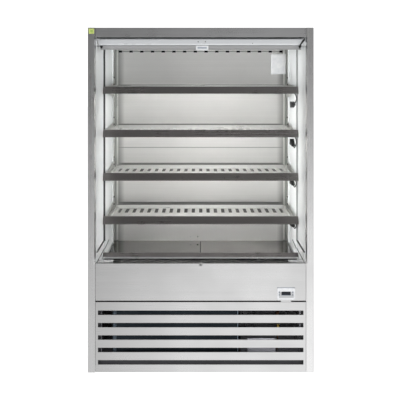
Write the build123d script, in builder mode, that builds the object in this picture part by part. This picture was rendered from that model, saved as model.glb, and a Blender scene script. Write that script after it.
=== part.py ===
from build123d import *
import os
from math import cos, pi, radians, sin, sqrt, tan

# An open multideck display fridge: a tall, open-fronted stainless cabinet with four hung shelves and a
# base deck, a night blind that pulls down over the opening, and the condensing unit behind a louvre panel
# at the foot. Millimetres, +Z up, -Y the open front. The origin is on the floor under the cabinet's
# centre. Depths are counted backwards from the front plane, heights upwards from the floor.

# ---------------------------------------------------------------- overall sizes
cabinet_width = 1210.0
cabinet_depth = 680.0
cabinet_height = 1850.0

# ---------------------------------------------------------------- body shell
sheet = 1.5                # folded stainless sheet
end_thickness = 40.0       # insulated end panels, from floor to top
end_corner = 3.0           # bend radius of their outer corners
post_depth = 20.0          # solid front post of each end panel
post_splay = 5.0           # the posts' inner returns splay back by this much beside the opening
floor_gap = 3.0            # the shell stands this far off the floor, on its feet
back_thickness = 40.0
roof_thickness = 43.5
liner_nose = 8.0           # liner thickness beside the blind
liner_step = 9.0           # how much further in it stands behind the step
step_depth = 250.0         # from the front plane to the step
panel_play = 1.0           # gap between a front panel and each post
front_recess = 4.0         # front panels stand this far behind the posts' faces
header_drop = 50.0
header_return = 56.0

# ---------------------------------------------------------------- canopy and air curtain
canopy_drop = 85.0          # soffit below the top
soffit_front = 88.0
outlet_front = 93.0
outlet_depth = 78.0
outlet_inset = 16.0         # from the rear liner to the outlet's ends
outlet_height = 28.0
outlet_columns = 36
outlet_rows = 2
outlet_wall = 2.0

# ---------------------------------------------------------------- back panels
duct_depth = 75.0           # air duct between the back panels and the back wall
back_seam = 1140.0
panel_flange = 15.0
air_slot_count = 16
air_slot_pitch = 68.5
air_slot_length = 22.0
air_slot_height = 12.0
air_slot_drop = 13.0        # below the soffit

# ---------------------------------------------------------------- uprights in the rear corners
upright_standoff = 6.5     # hollow between the slotted leg and the liner
upright_leg = 62.0
upright_face = 31.0
upright_bottom = 548.0
slot_setback = 55.0         # hook slots in front of the back panel
slot_width = 7.0
slot_height = 18.0

# ---------------------------------------------------------------- shelves
shelf_count = 4
shelf_pitch = 250.0
lowest_shelf = 767.0
tray_inset = 33.0           # from the rear liner to the tray's sides
tray_front = 231.0
tray_setback = 68.0         # tray's rear upstand in front of the back panel
tray_rear_upstand = 23.0
tray_front_upstand = 13.2
tray_slot_count = 23
tray_slot_pitch = 45.2
tray_slot_width = 20.0
tray_slot_length = 112.0
tray_slot_centre = 434.0

bracket_sheet = 2.5
bracket_inset = 10.0        # from the rear liner to the bracket's inner face
bracket_front = 238.0
bracket_setback = 52.0      # bracket's rear edge in front of the back panel
bracket_ledge = 40.0
bracket_rise = 36.0
bracket_drop = 57.0
hook_up = 27.0             # upper hook above the tray
hook_down = 45.0           # lower hook below it
free_slot_up = 68.0        # the slot left free above each shelf

strip_play = 3.0            # each end to the side liner
strip_sheet = 1.8
strip_rise = 15.0
strip_drop = 25.0
strip_lean = 14.0          # its foot stands this much further forward
strip_front = 226.0

lamp_inset = 56.0           # from the rear liner to the lamp's end
lamp_front = 236.0
lamp_depth = 22.0
lamp_height = 11.0
lead_diameter = 5.5
plug_heights = (26.0, 26.0, 34.0, 36.0)
plug_length = 46.0
plug_reach = 24.0          # off the liner at its broad end
plug_neck = 17.0           # and where the lead comes in
relief_radius = 4.2
relief_length = 12.0

# ---------------------------------------------------------------- base deck and air return
deck_level = 543.0
deck_play = 3.0
deck_flange = 12.0
ledge_width = 20.0         # ledge under the deck's rear edge
fan_panel_depth = 216.0
deck_rail_bottom = 545.0
deck_rail_rise = 28.0
return_slot_front = 166.0
mesh_front = 122.0
mesh_inset = 58.0           # from the rear liner to the mesh's ends
mesh_columns = 24
mesh_rows = 3
sill_bottom = 386.5
sill_top = 586.0
sill_thickness = 25.0
sill_slot_count = 136       # fine slots along the sill's top
sill_slot_pitch = 7.0
sill_slot_width = 4.6
sill_slot_length = 17.0
capping_height = 49.0
capping_thickness = 6.0
edge_strip = 4.0
tank_floor = 30.0
tank_bottom = 395.0
tank_wall = 25.0
drain_radius = 14.0

# ---------------------------------------------------------------- controller
controller_inset = 106.5    # from the sill fascia's right end to the controller's middle
controller_z = 422.5
bezel_width = 95.0
bezel_height = 63.0
bezel_thickness = 3.0
display_width = 50.0
display_height = 21.0
button_width = 7.0
button_height = 9.0
button_play = 0.25
button_travel = 0.8
button_spread = 36.0       # each side of the display's centre
button_rise = 7.0
housing_depth = 16.0

# ---------------------------------------------------------------- louvre panel
louvre_top = 378.5
louvre_slot = 24.0
louvre_slot_pitch = 66.5
louvre_slot_first = 55.6
louvre_slot_count = 5
louvre_inset = 13.0         # from the panel's ends to its slots
louvre_hem = 5.0
louvre_return = 14.0

# ---------------------------------------------------------------- condensing unit
base_level = 30.0
base_sheet = 2.0
base_rim = 34.0
foot_radius = 20.0
pad_height = 10.0
stud_radius = 6.0
foot_inset = 60.0
condenser_left = -486.0
condenser_right = 206.0
condenser_front = 70.0
condenser_depth = 62.0
condenser_bottom = 60.0
condenser_top = 352.0
frame_channel = 19.0
fan_x = -140.0
fan_z = 206.0
fan_radius = 122.0
fan_tip_gap = 5.0
hub_radius = 34.0
fan_depth = 34.0
shroud_gap = 26.0
shaft_radius = 4.0
shaft_play = 0.05
compressor_x = 250.0
compressor_setback = 240.0  # its middle in front of the back
compressor_radius = 82.0
compressor_height = 190.0
box_left = 258.0
box_right = 414.0
box_front = 90.0
box_depth = 22.0
box_top = 134.0

# ---------------------------------------------------------------- evaporator in the well
coil_inset = 126.0          # from the rear liner to the coil's end plates
coil_front = 320.0
coil_setback = 35.0         # coil in front of the back panel
coil_bottom = 440.0
coil_top = 530.0
well_fan_x = 220.0
well_fan_z = 482.0
well_fan_radius = 48.0
well_hub_radius = 17.0
well_fan_depth = 20.0

# ---------------------------------------------------------------- night blind
cassette_front = 30.0
cassette_depth = 52.0
cassette_drop = 93.0        # cassette's underside below the top
cassette_height = 36.0
cassette_wall = 2.0
cassette_play = 9.0         # each end to the side liner
roll_radius = 14.0
core_radius = 9.0
pin_radius = 4.0
fabric_inset = 40.0         # from the side liner to the cloth's edge
fabric_thickness = 0.6
cloth_lead = 6.0            # the cloth hangs this far in front of the roller's axis
bar_play = 20.0             # each end to the side liner
bar_gap = 1.5               # under the cassette
bar_height = 21.0
bar_depth = 18.0
bar_cap = 12.0
handle_width = 68.0
handle_height = 25.0
catch_width = 16.0

# ---------------------------------------------------------------- values worked out from the above
half_width = cabinet_width / 2
half_depth = cabinet_depth / 2
inner_half = half_width - end_thickness
liner_back = inner_half + liner_nose
rear_inner = inner_half - liner_step
panel_half = inner_half - panel_play
back_wall_depth = cabinet_depth - back_thickness
roof_bottom = cabinet_height - sheet - roof_thickness
header_bottom = cabinet_height - header_drop
soffit_level = cabinet_height - canopy_drop
outlet_half_width = rear_inner - outlet_inset
back_panel_depth = back_wall_depth - duct_depth
air_slot_level = soffit_level - air_slot_drop
slot_depth = back_panel_depth - slot_setback
tray_half_width = rear_inner - tray_inset
tray_rear = back_panel_depth - tray_setback
bracket_inner = rear_inner - bracket_inset
bracket_rear = back_panel_depth - bracket_setback
strip_half_width = inner_half - strip_play
lamp_half_length = rear_inner - lamp_inset
mesh_half_width = rear_inner - mesh_inset
controller_x = panel_half - controller_inset
louvre_half_slot = panel_half - louvre_inset
coil_half_width = rear_inner - coil_inset
coil_rear = back_panel_depth - coil_setback
cassette_bottom = cabinet_height - cassette_drop
cassette_half_width = inner_half - cassette_play
fabric_half_width = inner_half - fabric_inset
bar_half_width = inner_half - bar_play
compressor_depth = cabinet_depth - compressor_setback
shelf_levels = [lowest_shelf + shelf_pitch * n for n in range(shelf_count)]
cassette_middle = cassette_front + cassette_depth / 2
roller_level = cassette_bottom + cassette_height / 2
bar_top = cassette_bottom - bar_gap
sides = (("left", -1), ("right", 1))
parts = []


def y_at(depth):
    """The Y of a place this far behind the front plane."""
    return depth - half_depth


def block(x, depths, z, mode=Mode.ADD):
    """Add a box to the part being built, from its two limits along each axis."""
    centre = ((x[0] + x[1]) / 2, (y_at(depths[0]) + y_at(depths[1])) / 2, (z[0] + z[1]) / 2)
    with Locations(centre):
        Box(x[1] - x[0], depths[1] - depths[0], z[1] - z[0], mode=mode)


def thickened(points, thickness):
    """The outline of a bent line given its thickness, to the left of its run (to the right if negative)."""
    line = [Vector(*point) for point in points]
    normals = [(b - a).normalized().rotate(Axis.Z, 90) for a, b in zip(line, line[1:])]
    mitres = [(m + n) * (1 / (1 + m.dot(n))) for m, n in zip(normals, normals[1:])]
    mitres = [normals[0]] + mitres + [normals[-1]]
    far_side = [point + mitre * thickness for point, mitre in zip(line, mitres)]
    return line + far_side[::-1]


def fold(points, thickness, x):
    """Add a folded sheet: a bent line of (depth, height) points, thickened to its left, between two X."""
    with BuildSketch(Plane.YZ.offset(x[0])) as section:
        with BuildLine():
            Polyline(*thickened([(y_at(depth), z) for depth, z in points], thickness), close=True)
        make_face()
    extrude(section.sketch, amount=x[1] - x[0])


def plate(points, x):
    """Add a flat plate: an outline of (depth, height) points, between two X."""
    with BuildSketch(Plane.YZ.offset(x[0])) as section:
        with BuildLine():
            Polyline(*[(y_at(depth), z) for depth, z in points], close=True)
        make_face()
    extrude(section.sketch, amount=x[1] - x[0])


def finish(piece, name):
    """Label a finished piece and keep it for writing."""
    piece.label = name
    parts.append(piece)


def mirrored(x, sign):
    """Two X limits on the right side, or their mirror image on the left."""
    return (x[0], x[1]) if sign > 0 else (-x[1], -x[0])


# ================================================================ body shell
# Each end panel is a foam-filled stainless slab, rebated on its inner face for the liner. What is left in
# front of the rebate is the post.
for side_name, sign in sides:
    with BuildPart() as end_panel:
        block(mirrored((inner_half, half_width), sign), (0, cabinet_depth), (floor_gap, cabinet_height))
        outer_edges = end_panel.edges().filter_by(Axis.Z).group_by(Axis.X)[-1 if sign > 0 else 0]
        fillet(outer_edges, radius=end_corner)
        block(mirrored((inner_half, liner_back), sign), (post_depth, back_wall_depth),
              (tank_bottom, roof_bottom), mode=Mode.SUBTRACT)
        with BuildSketch(Plane.XY.offset(sill_top)) as splay:
            with BuildLine():
                Polyline((sign * inner_half, y_at(0)), (sign * (inner_half + post_splay), y_at(0)),
                         (sign * inner_half, y_at(post_depth)), close=True)
            make_face()
        extrude(splay.sketch, amount=header_bottom - sill_top, mode=Mode.SUBTRACT)
    finish(end_panel.part, "end_panel_" + side_name)

# The back: a foam panel down to the tank, whose outer skin runs on to the base and is louvred there, so
# that the condensing unit can blow its warm air out.
vent_count = 7
vent_pitch = 42.0
vent_half_width = 400.0
vent_height = 14.0
vent_bottom = 70.0
with BuildPart() as back_wall:
    block((-inner_half, inner_half), (back_wall_depth, cabinet_depth), (tank_bottom, roof_bottom))
    block((-inner_half, inner_half), (cabinet_depth - sheet, cabinet_depth), (floor_gap, tank_bottom))
    for row in range(vent_count):
        vent_low = vent_bottom + row * vent_pitch
        for vent_side in (-1, 1):
            vent_x = mirrored((12.0, vent_half_width), vent_side)
            block(vent_x, (cabinet_depth - 2 * sheet, cabinet_depth + sheet),
                  (vent_low, vent_low + vent_height), mode=Mode.SUBTRACT)
            # the hood pressed out over each vent
            fold([(cabinet_depth - 0.3, vent_low + vent_height + 1.5), (cabinet_depth - 9.0, vent_low + 1.0)],
                 -sheet, vent_x)
finish(back_wall.part, "back_wall")

with BuildPart() as roof_panel:
    block((-inner_half, inner_half), (post_depth + 20.0, cabinet_depth),
          (roof_bottom, cabinet_height - sheet))
finish(roof_panel.part, "roof_panel")

# The header fascia hooks over the front of the roof and has a hem along its lower edge.
with BuildPart() as header_fascia:
    fold([(header_return, cabinet_height), (front_recess, cabinet_height),
          (front_recess, header_bottom), (front_recess + post_depth, header_bottom),
          (front_recess + post_depth, header_bottom + 8.0)],
         sheet, (-panel_half, panel_half))
finish(header_fascia.part, "header_fascia")

# ================================================================ canopy and air curtain
# The soffit closes the canopy's air duct; the honeycomb fills its opening and straightens the air.
with BuildPart() as canopy_soffit:
    fold([(soffit_front, roof_bottom), (soffit_front, soffit_level), (back_panel_depth, soffit_level)],
         sheet, (-rear_inner, rear_inner))
    block((-outlet_half_width, outlet_half_width), (outlet_front, outlet_front + outlet_depth),
          (soffit_level - sheet, soffit_level + 2 * sheet), mode=Mode.SUBTRACT)
finish(canopy_soffit.part, "canopy_soffit")

with BuildPart() as honeycomb_outlet:
    block((-outlet_half_width, outlet_half_width), (outlet_front, outlet_front + outlet_depth),
          (soffit_level, soffit_level + outlet_height))
    cell_x = (2 * outlet_half_width - outlet_wall) / outlet_columns
    cell_y = (outlet_depth - outlet_wall) / outlet_rows
    with Locations((0, y_at(outlet_front + outlet_depth / 2), soffit_level + outlet_height / 2)):
        with GridLocations(cell_x, cell_y, outlet_columns, outlet_rows):
            Box(cell_x - outlet_wall, cell_y - outlet_wall, outlet_height + 2.0, mode=Mode.SUBTRACT)
finish(honeycomb_outlet.part, "honeycomb_outlet")

# ================================================================ inner skins
# The liner is thicker behind the step, so that the shelves' end gaps are small while the blind's bar runs
# clear of it in front.
liner_top = soffit_level
for side_name, sign in sides:
    with BuildPart() as liner:
        with BuildSketch(Plane.XY.offset(tank_bottom)):
            with BuildLine():
                Polyline(
                    (sign * liner_back, y_at(post_depth)),
                    (sign * inner_half, y_at(post_depth)),
                    (sign * inner_half, y_at(step_depth)),
                    (sign * rear_inner, y_at(step_depth)),
                    (sign * rear_inner, y_at(back_wall_depth)),
                    (sign * liner_back, y_at(back_wall_depth)),
                    close=True,
                )
            make_face()
        extrude(amount=roof_bottom - tank_bottom)
    finish(liner.part, "liner_" + side_name)

# Stainless trims on the liners: an edge strip on each step and a capping along the foot of the nose.
with BuildPart() as liner_trims:
    for side_name, sign in sides:
        block(mirrored((rear_inner - sheet, inner_half), sign),
              (step_depth - edge_strip, step_depth), (sill_top + capping_height, liner_top))
        block(mirrored((inner_half - capping_thickness, inner_half), sign),
              (post_depth + 12.0, step_depth - edge_strip), (sill_top, sill_top + capping_height))
finish(liner_trims.part, "liner_trims")

# ================================================================ back panels
# Two sheets, seamed at mid height, with flanges folded back; the upper one has the air slots, the lower
# one has a ledge that the deck trays lie on.
back_half = rear_inner - 0.5
with BuildPart() as back_panel_upper:
    fold([(back_panel_depth + panel_flange, back_seam), (back_panel_depth, back_seam),
          (back_panel_depth, soffit_level - sheet)],
         -sheet, (-back_half, back_half))
    for number in range(air_slot_count):
        slot_x = (number - (air_slot_count - 1) / 2) * air_slot_pitch
        block((slot_x - air_slot_length / 2, slot_x + air_slot_length / 2),
              (back_panel_depth - sheet, back_panel_depth + 2 * sheet),
              (air_slot_level - air_slot_height / 2, air_slot_level + air_slot_height / 2),
              mode=Mode.SUBTRACT)
finish(back_panel_upper.part, "back_panel_upper")

deck_underside = deck_level - sheet
with BuildPart() as back_panel_lower:
    fold([(back_panel_depth + panel_flange, back_seam), (back_panel_depth, back_seam),
          (back_panel_depth, deck_underside), (back_panel_depth - ledge_width, deck_underside)],
         sheet, (-back_half, back_half))
finish(back_panel_lower.part, "back_panel_lower")

# ================================================================ uprights
# A folded corner post on each side: one leg stands off the liner and carries the hook slots, the other
# lies on the back panel.
upright_front = back_panel_depth - upright_leg
with BuildPart() as shelf_uprights:
    for side_name, sign in sides:
        with BuildSketch(Plane.XY.offset(upright_bottom)):
            with BuildLine():
                corner_line = [
                    (sign * rear_inner, y_at(upright_front)),
                    (sign * (rear_inner - upright_standoff), y_at(upright_front)),
                    (sign * (rear_inner - upright_standoff), y_at(back_panel_depth - sheet)),
                    (sign * (rear_inner - upright_face), y_at(back_panel_depth - sheet)),
                ]
                Polyline(*thickened(corner_line, -sign * sheet), close=True)
            make_face()
        extrude(amount=soffit_level - sheet - upright_bottom)
    slot_levels = [level + rise for level in shelf_levels for rise in (free_slot_up, hook_up, -hook_down)]
    for level in slot_levels:
        block((-rear_inner + 0.5, rear_inner - 0.5),
              (slot_depth - slot_width / 2, slot_depth + slot_width / 2),
              (level - slot_height / 2, level + slot_height / 2), mode=Mode.SUBTRACT)
finish(shelf_uprights.part, "shelf_uprights")

# ================================================================ shelves
# Each shelf is a slotted tray with upstands, lying on the ledges of two cantilever brackets that hook
# into the uprights, with a ticket strip along its front and a lamp under it.
for number, level in enumerate(shelf_levels, start=1):
    with BuildPart() as shelf_tray:
        fold([(tray_front, level + tray_front_upstand), (tray_front, level - sheet),
              (tray_rear, level - sheet), (tray_rear, level + tray_rear_upstand)],
             sheet, (-tray_half_width, tray_half_width))
        for sign in (-1, 1):
            plate([(tray_front, level - sheet), (tray_rear, level - sheet),
                   (tray_rear, level + tray_rear_upstand), (tray_front + 8.0, level + tray_front_upstand),
                   (tray_front, level + tray_front_upstand)],
                  mirrored((tray_half_width - sheet, tray_half_width), sign))
        with Locations((0, y_at(tray_slot_centre), level - sheet / 2)):
            with GridLocations(tray_slot_pitch, 0, tray_slot_count, 1):
                Box(tray_slot_width, tray_slot_length, 4 * sheet, mode=Mode.SUBTRACT)
    finish(shelf_tray.part, "shelf_tray_" + str(number))

    # the strip leans back, with a hook along its top that sits on the tray's front upstand
    with BuildPart() as ticket_strip:
        fold([(strip_front + 10.0, level + strip_rise), (strip_front, level + strip_rise),
              (strip_front - strip_lean, level - strip_drop + 5.0),
              (strip_front - strip_lean - 3.5, level - strip_drop)],
             strip_sheet, (-strip_half_width, strip_half_width))
    finish(ticket_strip.part, "ticket_strip_" + str(number))

with BuildPart() as shelf_brackets:
    for level in shelf_levels:
        ledge_top = level - sheet
        for side_name, sign in sides:
            plate([(bracket_rear, level - bracket_drop), (bracket_rear, level + bracket_rise),
                   (bracket_rear - 14.0, level + bracket_rise), (bracket_front, level + 11.0),
                   (bracket_front, level - 16.0)],
                  mirrored((bracket_inner, bracket_inner + bracket_sheet), sign))
            block(mirrored((bracket_inner - bracket_ledge, bracket_inner), sign),
                  (bracket_front + 4.0, tray_rear - 6.0), (ledge_top - 2.0, ledge_top))
            # two hooks go through the upright's slots and turn down behind its sheet
            for hook_level in (level + hook_up, level - hook_down):
                hook_x = bracket_inner + bracket_sheet
                block(mirrored((hook_x, rear_inner - 2.0), sign), (slot_depth - 2.5, slot_depth + 2.5),
                      (hook_level - 4.0, hook_level + 7.0))
                block(mirrored((rear_inner - 4.5, rear_inner - 2.0), sign),
                      (slot_depth - 2.5, slot_depth + 2.5), (hook_level - 8.5, hook_level + 7.0))
finish(shelf_brackets.part, "shelf_brackets")

# The lamps are slim bars with a rounded diffuser under each tray, right behind the ticket strip.
lamp_middle = lamp_front + lamp_depth / 2
with BuildPart() as shelf_lamps:
    for level in shelf_levels:
        lamp_top = level - sheet
        with BuildSketch(Plane.YZ.offset(-lamp_half_length)):
            with Locations((y_at(lamp_middle), lamp_top - lamp_height / 2)):
                Rectangle(lamp_depth, lamp_height)
        extrude(amount=2 * lamp_half_length)
    lamp_edges = shelf_lamps.edges().filter_by(Axis.X).filter_by(
        lambda edge: any(abs(edge.center().Z - (level - sheet - lamp_height)) < 0.1
                         for level in shelf_levels))
    fillet(lamp_edges, radius=4.0)
finish(shelf_lamps.part, "shelf_lamps")


def lead(points, diameter):
    """A lead's round tube: straight runs through the points, joined by the largest arcs that fit."""
    corners = [Vector(*point) for point in points]
    runs = [b - a for a, b in zip(corners, corners[1:])]
    radii = []
    for before, after in zip(runs, runs[1:]):
        turn = before.get_angle(after)
        radii.append(0.45 * min(before.length, after.length) / tan(radians(turn) / 2))
    print("lead radii:", " ".join(f"{radius:.1f}" for radius in radii))
    with BuildPart() as tube:
        with BuildLine() as path:
            FilletPolyline(*corners, radius=radii)
        with BuildSketch(Plane(path.line @ 0, z_dir=path.line % 0)):
            Circle(diameter / 2)
        sweep()
    length = sum(edge.length for edge in path.edges())
    expected = pi * diameter ** 2 / 4 * length
    print(f"lead length {length:.1f}, volume ratio {tube.part.volume / expected:.4f}")
    return tube.part


# The four leads, from the right end of each lamp over to its plug. Each point is (distance from the right
# liner, depth, height below the shelf's tray), chosen by hand along the lead that hangs there.
lead_routes = (
    ((56, 247, 7), (39, 247, 7), (20, 243, 13), (7, 239, 24), (1, 237, 37), (3, 239, 49), (7, 246, 58),
     (9, 258, 63), (9, 272, 63), (9, 286, 61)),
    ((56, 247, 7), (39, 247, 7), (20, 243, 14), (7, 239, 27), (1, 237, 42), (3, 239, 56), (7, 246, 66),
     (9, 258, 72), (9, 273, 72), (9, 288, 68)),
    ((56, 247, 7), (39, 247, 7), (20, 243, 15), (7, 239, 31), (1, 237, 50), (3, 239, 68), (7, 245, 82),
     (9, 256, 92), (9, 272, 95), (9, 287, 88)),
    ((56, 247, 7), (39, 247, 7), (20, 243, 15), (7, 239, 30), (1, 237, 48), (2, 238, 64), (6, 243, 77),
     (9, 254, 84), (9, 270, 86)),
)
for number, (level, route) in enumerate(zip(shelf_levels, lead_routes), start=1):
    lamp_lead = lead([(rear_inner - inset, y_at(depth), level - drop) for inset, depth, drop in route],
                     lead_diameter)
    finish(lamp_lead, "lamp_lead_" + str(number))

# Each lamp's plug is a wedge that lies on the right liner in line with its lead's end: narrow where the
# lead comes in through a round strain relief, and broad at the back.
with BuildPart() as lamp_plugs:
    for level, plug_height, route in zip(shelf_levels, plug_heights, lead_routes):
        tail, end = [Vector(rear_inner - inset, y_at(depth), level - drop)
                     for inset, depth, drop in route[-2:]]
        along = (end - tail).normalized()
        for start, reach, height in ((relief_length - 2.0, plug_neck, plug_height * 0.4),
                                     (relief_length + plug_length, plug_reach, plug_height)):
            with BuildSketch(Plane(end + along * start, x_dir=(1, 0, 0), z_dir=along)):
                with Locations((rear_inner - reach / 2 - end.X, 0)):
                    Rectangle(reach, height)
        loft()
        with BuildSketch(Plane(end, z_dir=along)):
            Circle(relief_radius)
        extrude(amount=relief_length)
finish(lamp_plugs.part, "lamp_plugs")


# ================================================================ base deck and air return
# The insulated tank under the deck holds the evaporator: a floor, with a drain, and a front wall.
with BuildPart() as insulated_tank:
    tank_half = rear_inner
    block((-tank_half, tank_half), (post_depth + 2.0, back_wall_depth),
          (tank_bottom, tank_bottom + tank_floor))
    block((-tank_half, tank_half), (post_depth + 2.0, post_depth + 2.0 + tank_wall),
          (tank_bottom + tank_floor, deck_level))
    with Locations((0, y_at(back_panel_depth + 20.0), tank_bottom + tank_floor / 2)):
        Cylinder(drain_radius, tank_floor + 2.0, mode=Mode.SUBTRACT)
finish(insulated_tank.part, "insulated_tank")

# The sill fascia is folded over the tank's front wall; its lower hem carries a small pull tab that
# bridges the gap to the louvre panel, under the controller.
tab_width = 56.0
with BuildPart() as sill_fascia:
    fold([(front_recess + 16.0, sill_bottom), (front_recess, sill_bottom), (front_recess, sill_top),
          (front_recess + sill_thickness, sill_top), (front_recess + sill_thickness, deck_level + sheet)],
         -sheet, (-panel_half, panel_half))
    block((controller_x - tab_width / 2, controller_x + tab_width / 2),
          (front_recess + sheet, front_recess + 2 * sheet), (louvre_top + 0.5, sill_bottom + 12.0))
    block((controller_x - 34.0, controller_x + 34.0), (0.0, front_recess + 2 * sheet),
          (controller_z - 16.0, controller_z + 16.0), mode=Mode.SUBTRACT)
    # slot that the blind's handle is latched in
    block((-catch_width / 2, catch_width / 2), (0.0, front_recess + 2 * sheet),
          (sill_top - 12.0, sill_top - 4.0), mode=Mode.SUBTRACT)
    # fine slots along its top let the curtain's air down beside the grille
    with Locations((0, y_at(front_recess + sill_thickness / 2 + 0.5), sill_top - sheet / 2)):
        with GridLocations(sill_slot_pitch, 0, sill_slot_count, 1):
            Box(sill_slot_width, sill_slot_length, 3 * sheet, mode=Mode.SUBTRACT)
finish(sill_fascia.part, "sill_fascia")

# The return grille lies behind the sill at deck height. Its rear half is pierced, and the open slot
# behind it is where the air curtain is drawn back in.
mesh_pitch_x = 2 * mesh_half_width / mesh_columns
mesh_pitch_y = (return_slot_front - mesh_front) / mesh_rows
with BuildPart() as return_grille:
    fold([(front_recess + sill_thickness - 6.0, deck_level), (return_slot_front, deck_level),
          (return_slot_front, deck_level - 18.0)],
         sheet, (-rear_inner, rear_inner))
    with Locations((0, y_at((mesh_front + return_slot_front) / 2 - 2.0), deck_level)):
        with GridLocations(mesh_pitch_x, mesh_pitch_y, mesh_columns, mesh_rows):
            Box(mesh_pitch_x - 5.0, mesh_pitch_y - 5.0, 4 * sheet, mode=Mode.SUBTRACT)
finish(return_grille.part, "return_grille")

# The deck rail is the deck's own ticket strip, hung on the front of the fan panel.
with BuildPart() as deck_rail:
    rail_foot = strip_front - strip_lean
    rail_top = deck_rail_bottom + deck_rail_rise
    fold([(strip_front + 4.0, rail_top), (strip_front, rail_top),
          (rail_foot, deck_rail_bottom + 8.0), (rail_foot - 3.0, deck_rail_bottom)],
         strip_sheet, (-strip_half_width, strip_half_width))
    block((-rear_inner + 1.0, rear_inner - 1.0), (rail_foot - 2.0, fan_panel_depth),
          (deck_rail_bottom, deck_rail_bottom + strip_sheet))
    block((-rear_inner + 1.0, rear_inner - 1.0), (fan_panel_depth - sheet, fan_panel_depth),
          (deck_level - 22.0, deck_rail_bottom + strip_sheet))
finish(deck_rail.part, "deck_rail")

# Two lift-out trays make the deck, side by side. Their front edges lie on the fan panel's flange and
# their rear edges on the back panel's ledge.
ledge_gap = 0.3
deck_front = strip_front + 6.0
deck_rear = back_panel_depth - sheet - deck_play
deck_half = rear_inner - upright_standoff - deck_play
for side_name, sign in sides:
    with BuildPart() as deck_tray:
        tray_x = mirrored((deck_play / 2, deck_half), sign)
        block(tray_x, (deck_front, deck_rear), (deck_level - sheet + ledge_gap, deck_level + ledge_gap))
        for edge_x in ((tray_x[0], tray_x[0] + sheet), (tray_x[1] - sheet, tray_x[1])):
            block(edge_x, (deck_front + 20.0, deck_rear - 24.0), (deck_level - deck_flange, deck_level))
    finish(deck_tray.part, "deck_tray_" + side_name)

# ================================================================ evaporator and its fans
# The fan panel stands across the tank under the deck's front edge. Each opening has a motor on a
# cross-strut behind it; the fans blow through the coil and up the duct behind the back panels.
well_floor = tank_bottom + tank_floor
strut = 12.0
motor_front = fan_panel_depth + 2.0 + well_fan_depth + 6.0
with BuildPart() as evaporator_fan_panel:
    fold([(fan_panel_depth, well_floor), (fan_panel_depth, deck_underside),
          (fan_panel_depth + 30.0, deck_underside)],
         -2.0, (-rear_inner + 1.0, rear_inner - 1.0))
    with Locations(*[(sign * well_fan_x, y_at(fan_panel_depth + 1.0), well_fan_z) for sign in (-1, 1)]):
        Cylinder(well_fan_radius + 3.0, 8.0, rotation=(90, 0, 0), mode=Mode.SUBTRACT)
    for sign in (-1, 1):
        centre = sign * well_fan_x
        # cross-strut, its two legs and the motor with its shaft
        block((centre - well_fan_radius - 16.0, centre + well_fan_radius + 16.0),
              (motor_front, motor_front + 3.0), (well_fan_z - strut / 2, well_fan_z + strut / 2))
        for leg in (-1, 1):
            leg_x = centre + leg * (well_fan_radius + 14.0)
            block((leg_x - 2.0, leg_x + 2.0), (fan_panel_depth, motor_front + 3.0),
                  (well_fan_z - strut / 2, well_fan_z + strut / 2))
        with Locations((centre, y_at(motor_front + 20.0), well_fan_z)):
            Cylinder(26.0, 40.0, rotation=(90, 0, 0))
        with Locations((centre, y_at(motor_front - 9.0), well_fan_z)):
            Cylinder(3.0, 18.0, rotation=(90, 0, 0))
finish(evaporator_fan_panel.part, "evaporator_fan_panel")


def axial_fan(centre_x, centre_depth, centre_z, radius, hub, thickness, blades, bore):
    """An axial fan about the Y axis: a hub with a blind bore and curved blades pitched across it."""
    middle = Plane(origin=(centre_x, y_at(centre_depth), centre_z), x_dir=(1, 0, 0), z_dir=(0, -1, 0))
    with BuildPart() as fan:
        with BuildSketch(middle.offset(-thickness / 2)):
            Circle(hub)
        extrude(amount=thickness)
        for number in range(blades):
            turn = 2 * pi * number / blades
            outwards = Vector(cos(turn), 0, sin(turn))
            around = Vector(-sin(turn), 0, cos(turn))
            # a blade is lofted from its root to its tip, flatter towards the tip
            with BuildSketch(Plane(middle.origin + outwards * (hub - 2.0), x_dir=around, z_dir=outwards)):
                Rectangle(hub * 1.1, 2.0, rotation=38)
            with BuildSketch(Plane(middle.origin + outwards * radius, x_dir=around, z_dir=outwards)):
                Rectangle(radius * 0.62, 1.6, rotation=14)
            loft()
        with BuildSketch(middle.offset(-thickness / 2)):
            Circle(bore)
        extrude(amount=thickness - 4.0, mode=Mode.SUBTRACT)
        # the blades' tips are turned to one round
        with BuildSketch(middle.offset(-thickness)):
            Circle(radius)
        extrude(amount=2 * thickness, mode=Mode.INTERSECT)
    return fan.part


for side_name, sign in sides:
    well_fan = axial_fan(sign * well_fan_x, fan_panel_depth + 1.0 + well_fan_depth / 2, well_fan_z,
                         well_fan_radius, well_hub_radius, well_fan_depth, 5, 3.0 + shaft_play)
    finish(well_fan, "evaporator_fan_" + side_name)

# The coil: a finned block between two end plates, with return bends at the right-hand end.
bend_radius = 11.0
coil_tube = 4.5
with BuildPart() as evaporator:
    block((-coil_half_width, coil_half_width), (coil_front, coil_rear), (coil_bottom, coil_top))
    for sign in (-1, 1):
        block(mirrored((coil_half_width, coil_half_width + 3.0), sign),
              (coil_front - 6.0, coil_rear + 6.0), (well_floor, coil_top + 6.0))
    for column in range(4):
        for row in (-1, 1):
            bend = Plane(origin=(coil_half_width + 3.0, y_at(coil_front + 36.0 + column * 46.0),
                                 (coil_bottom + coil_top) / 2 + row * 22.0),
                         x_dir=(1, 0, 0), z_dir=(0, 0, 1))
            with BuildSketch(Plane(bend.origin + bend.y_dir * bend_radius, x_dir=(0, 1, 0),
                                   z_dir=(1, 0, 0))):
                Circle(coil_tube)
            revolve(axis=Axis(bend.origin, (0, 0, 1)), revolution_arc=-180)
finish(evaporator.part, "evaporator")

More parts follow.
